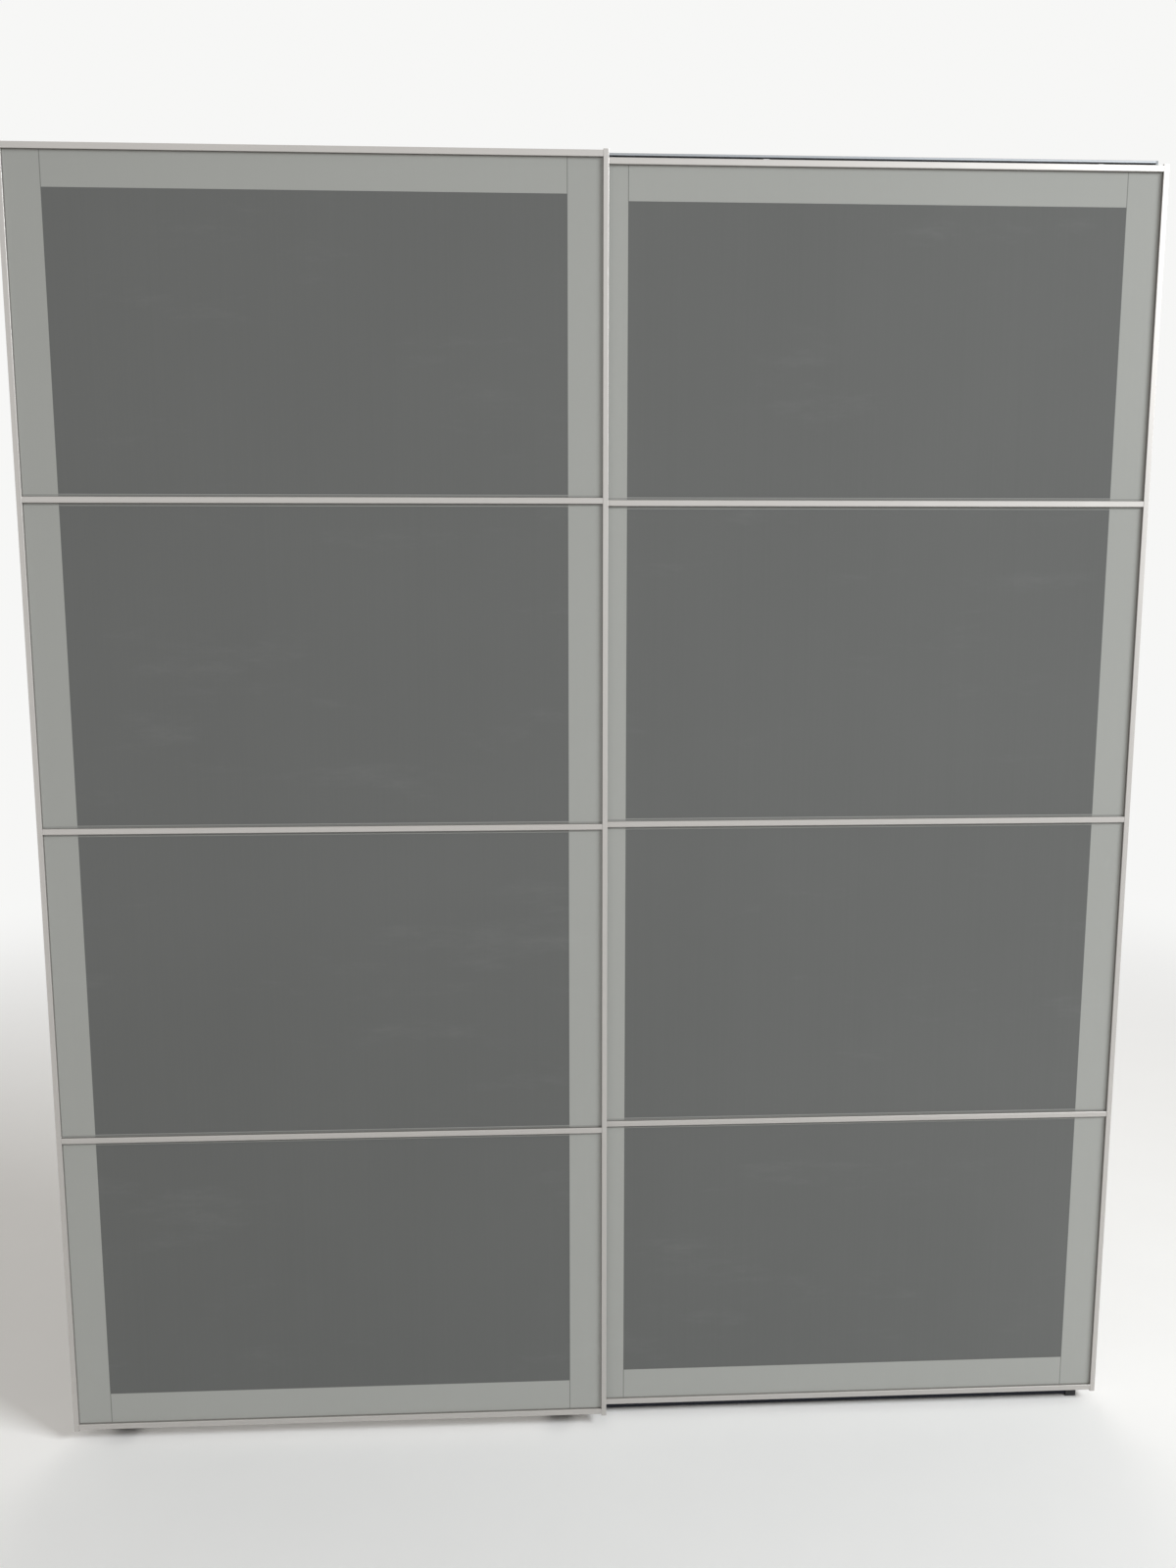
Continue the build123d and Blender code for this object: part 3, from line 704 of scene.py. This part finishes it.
class DOORS_OT_hangers(Operator):
    """Zinc plate on the hangers, and their turned pins"""

    bl_idname = "sliding_doors.hangers"
    bl_label = "Hangers"

    def execute(self, context):
        zinc = tuple(context.scene.hardware_finishes.zinc)
        sizes = context.scene.hardware_sizes
        for door in DOORS:
            for side in SIDES:
                low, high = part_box(f"{door}_{side}_wheel")
                pin = ((low[0] + high[0]) / 2, (low[2] + high[2]) / 2, sizes.pin,
                       low[1] - sizes.pin_rise)
                dress(f"{door}_{side}_hanger", plated_steel(f"{door}_{side}_zinc", zinc, pin=pin))
        return {"FINISHED"}


class DOORS_OT_wheels(Operator):
    """Moulded wheels with a worn groove"""

    bl_idname = "sliding_doors.wheels"
    bl_label = "Wheels"

    def execute(self, context):
        base = tuple(context.scene.hardware_finishes.wheel)
        groove = context.scene.hardware_sizes.groove
        for door in DOORS:
            for side in SIDES:
                node = f"{door}_{side}_wheel"
                low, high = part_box(node)
                dress(node, wheel_nylon(f"{node}_nylon", base, (low + high) / 2, groove))
        return {"FINISHED"}


class DOORS_OT_screws(Operator):
    """Screws of the hangers, guides, corners and end stops, each left at a turn of its own"""

    bl_idname = "sliding_doors.screws"
    bl_label = "Screws"

    def execute(self, context):
        sizes = context.scene.hardware_sizes
        material = plated_steel("screw_plate", tuple(context.scene.hardware_finishes.screw),
                                mottling=300.0, rough=0.22)
        pan = screw_head(sizes.head, sizes.dome, sizes.arm, sizes.slot)
        flush = screw_head(sizes.flush_head, sizes.flush_dome, sizes.arm, sizes.slot)
        ring = washer_ring(sizes.washer, sizes.washer_wall)
        for door in DOORS:
            shapes = self.behind(door, sizes, pan, ring) + self.corners(door, sizes, flush)
            mesh = build_mesh(f"{door}_screws", *spread(shapes))
            add_piece(f"{door}_screws", mesh, material, door)
        shapes = []
        for side in SIDES:
            low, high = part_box(f"{side}_end_stop")
            for turn in (-1, 1):
                place = ((low[0] + high[0]) / 2 + turn * sizes.shelf_spread, (low[1] + high[1]) / 2,
                         low[2] + sizes.shelf)
                shapes.append((pan, place, (0, 0, 1), 0.7 + turn))
        add_piece("stop_screws", build_mesh("stop_screws", *spread(shapes)), material, "frame")
        return {"FINISHED"}

    def behind(self, door, sizes, pan, ring):
        """The screws on a door's back: two in each hanger, and one with a washer in each guide."""
        low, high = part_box(f"{door}_left_profile")
        back = high[1] + sizes.plate
        shapes = []
        for side in SIDES:
            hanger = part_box(f"{door}_{side}_hanger")
            middle = (hanger[0][0] + hanger[1][0]) / 2
            for turn in (-1, 1):
                place = (middle + turn * sizes.hanger_spread, back, high[2] - sizes.hanger_below)
                shapes.append((pan, place, (0, 1, 0), 2.1 * turn + middle))
            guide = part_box(f"{door}_{side}_guide")
            place = ((guide[0][0] + guide[1][0]) / 2, back, low[2] + sizes.guide_above)
            shapes.append((ring, place, (0, 1, 0), 0.0))
            place = (place[0], back + sizes.washer_wall, place[2])
            shapes.append((pan, place, (0, 1, 0), 1.3 + place[0]))
        return shapes

    def corners(self, door, sizes, flush):
        """The flat screws through the side profiles into the ports of the cross profiles."""
        shapes = []
        for side, out in zip(SIDES, (-1, 1)):
            low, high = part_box(f"{door}_{side}_profile")
            edge = low[0] if out < 0 else high[0]
            for height in (low[2] + sizes.port_low, high[2] - sizes.port_high):
                place = (edge, low[1] + sizes.port_depth, height)
                shapes.append((flush, place, (out, 0, 0), 0.4 + height))
        return shapes


class DOORS_OT_mouldings(Operator):
    """Moulded guides, caps and stops, and the rubber buffers"""

    bl_idname = "sliding_doors.mouldings"
    bl_label = "Guides, caps and stops"

    def execute(self, context):
        colours = context.scene.hardware_finishes
        smooth = moulded_plastic("guide_plastic", tuple(colours.plastic), rough=0.38, depth=0.00002)
        grained = moulded_plastic("cap_plastic", tuple(colours.plastic))
        grey = moulded_plastic("grey_cap_plastic", tuple(colours.cap))
        for side in SIDES:
            for door in DOORS:
                dress(f"{door}_{side}_guide", smooth)
            dress(f"top_rail_{side}_cap", grey)
            dress(f"bottom_rail_{side}_cap", grained)
            dress(f"{side}_end_stop", grained)
        dress("stop_buffers", soft_rubber("buffer_rubber", tuple(colours.rubber)))
        return {"FINISHED"}


class DOORS_OT_rails(Operator):
    """Anodised finish on the running rail and the guide rail"""

    bl_idname = "sliding_doors.rails"
    bl_label = "Rails"

    def execute(self, context):
        colours = context.scene.hardware_finishes
        for node, name, base, rough, seed in (
                ("top_rail", "running_rail", colours.rail, 0.50, 31.0),
                ("bottom_rail", "guide_rail", colours.dark_rail, 0.46, 43.0)):
            dress(node, extruded_metal(name, tuple(base), 0, rough, seed))
        return {"FINISHED"}


class DOORS_OT_stage(Operator):
    """Floor, even light, a lamp in front, a lamp behind and the camera"""

    bl_idname = "sliding_doors.stage"
    bl_label = "Stage"

    def execute(self, context):
        settings = context.scene.stage_settings
        self.floor(settings)
        self.sky(context.scene, settings)
        key = self.lamp("key_lamp", settings.key, settings.key_size, settings.daylight)
        back = self.lamp("back_lamp", settings.back, settings.back_size, settings.roomlight)
        for light, place in ((key, settings.key_place), (back, settings.back_place)):
            light.spread = settings.spread
            self.hang(light, np.array(place), np.array(settings.aim))
        camera = bpy.data.cameras.new("camera")
        camera.sensor_width = settings.sensor
        camera.lens = settings.lens
        holder = bpy.data.objects.new("camera", camera)
        holder.location = settings.camera_place
        holder.rotation_euler = (math.pi / 2 - settings.camera_down, 0, -settings.camera_right)
        context.scene.collection.objects.link(holder)
        context.scene.camera = holder
        context.scene.view_settings.view_transform = "Standard"
        return {"FINISHED"}

    def floor(self, settings, rings=25, sides=64):
        """A round floor that fades into the backdrop's colour far from the doors. A point is
        radius r and angle a, with r growing as the square of its row."""
        r = settings.radius * np.linspace(0, 1, rings)[:, None] ** 2
        a = np.linspace(0, 2 * math.pi, sides, endpoint=False)[None, :]
        points = np.stack([r * np.cos(a), r * np.sin(a), np.zeros_like(r * a)], axis=-1)
        mesh = grid_mesh("floor", points, False, True)
        finish = Finish("floor_paint")
        x, y = finish.axes("XY")
        far = ((x ** 2.0 + y ** 2.0) ** 0.5).step(settings.fade_from, settings.fade_to)
        tone = finish.noise(finish.place, scale=6.0, detail=3.0)
        paint = finish.blend(tone, shade(settings.floor, 0.985), shade(settings.floor, 1.01))
        near_shader = finish.node("ShaderNodeBsdfPrincipled", {},
                                  {"Base Color": paint, "Roughness": 0.75, "IOR": 1.3})
        far_shader = finish.backdrop("ShaderNodeEmission", settings)
        finish.finish_with(finish.node("ShaderNodeMixShader", {}, [far, near_shader, far_shader]))
        mesh.materials.append(finish.material)
        floor = bpy.data.objects.new("floor", mesh)
        bpy.context.scene.collection.objects.link(floor)

    def sky(self, scene, settings):
        """Even light from all round."""
        world = bpy.data.worlds.new("studio")
        scene.world = world
        world.use_nodes = True
        nodes = Nodes(world.node_tree, "ShaderNodeOutputWorld")
        nodes.finish_with(nodes.backdrop("ShaderNodeBackground", settings))

    def lamp(self, name, energy, size, tint):
        """A soft rectangular lamp."""
        light = bpy.data.lights.new(name, "AREA")
        light.shape = "RECTANGLE"
        light.size, light.size_y = size
        light.energy = energy
        light.color = tint
        return light

    def hang(self, light, place, aim):
        """Hangs a lamp at a place, turned to its aim and out of the camera's sight."""
        holder = bpy.data.objects.new(light.name, light)
        holder.location = place
        holder.visible_camera = False
        x, y, z = place - aim
        holder.rotation_euler = (math.atan2(math.hypot(x, y), z), 0, math.atan2(y, x) + math.pi / 2)
        bpy.context.scene.collection.objects.link(holder)


class DOORS_PT_panel(Panel):
    """Shows the settings, group by group, and a button for each step"""

    bl_idname = "DOORS_PT_panel"
    bl_label = "Sliding doors"
    bl_space_type = "VIEW_3D"
    bl_region_type = "UI"
    bl_category = "Sliding doors"

    def draw(self, context):
        for settings in GROUPS:
            box = self.layout.box()
            group = getattr(context.scene, settings)
            for name in group.__annotations__:
                box.prop(group, name)
        for step in STEPS:
            self.layout.operator(step.bl_idname)


GROUPS = {
    "door_finishes": DoorFinishes,
    "seal_sizes": SealSizes,
    "hardware_sizes": HardwareSizes,
    "hardware_finishes": HardwareFinishes,
    "stage_settings": StageSettings,
}
STEPS = (
    DOORS_OT_profiles,
    DOORS_OT_glass,
    DOORS_OT_boards,
    DOORS_OT_seals,
    DOORS_OT_hangers,
    DOORS_OT_wheels,
    DOORS_OT_screws,
    DOORS_OT_mouldings,
    DOORS_OT_rails,
    DOORS_OT_stage,
)


def register():
    """Makes the settings, the steps and the panel known."""
    for kind in (*GROUPS.values(), *STEPS, DOORS_PT_panel):
        bpy.utils.register_class(kind)
    for name, kind in GROUPS.items():
        setattr(bpy.types.Scene, name, PointerProperty(type=kind))


def unregister():
    """Takes them away again."""
    for name in GROUPS:
        delattr(bpy.types.Scene, name)
    for kind in (DOORS_PT_panel, *reversed(STEPS), *GROUPS.values()):
        bpy.utils.unregister_class(kind)


def main():
    """Runs every step in order."""
    register()
    for step in STEPS:
        group, name = step.bl_idname.split(".")
        getattr(getattr(bpy.ops, group), name)()


if __name__ == "__main__":
    main()
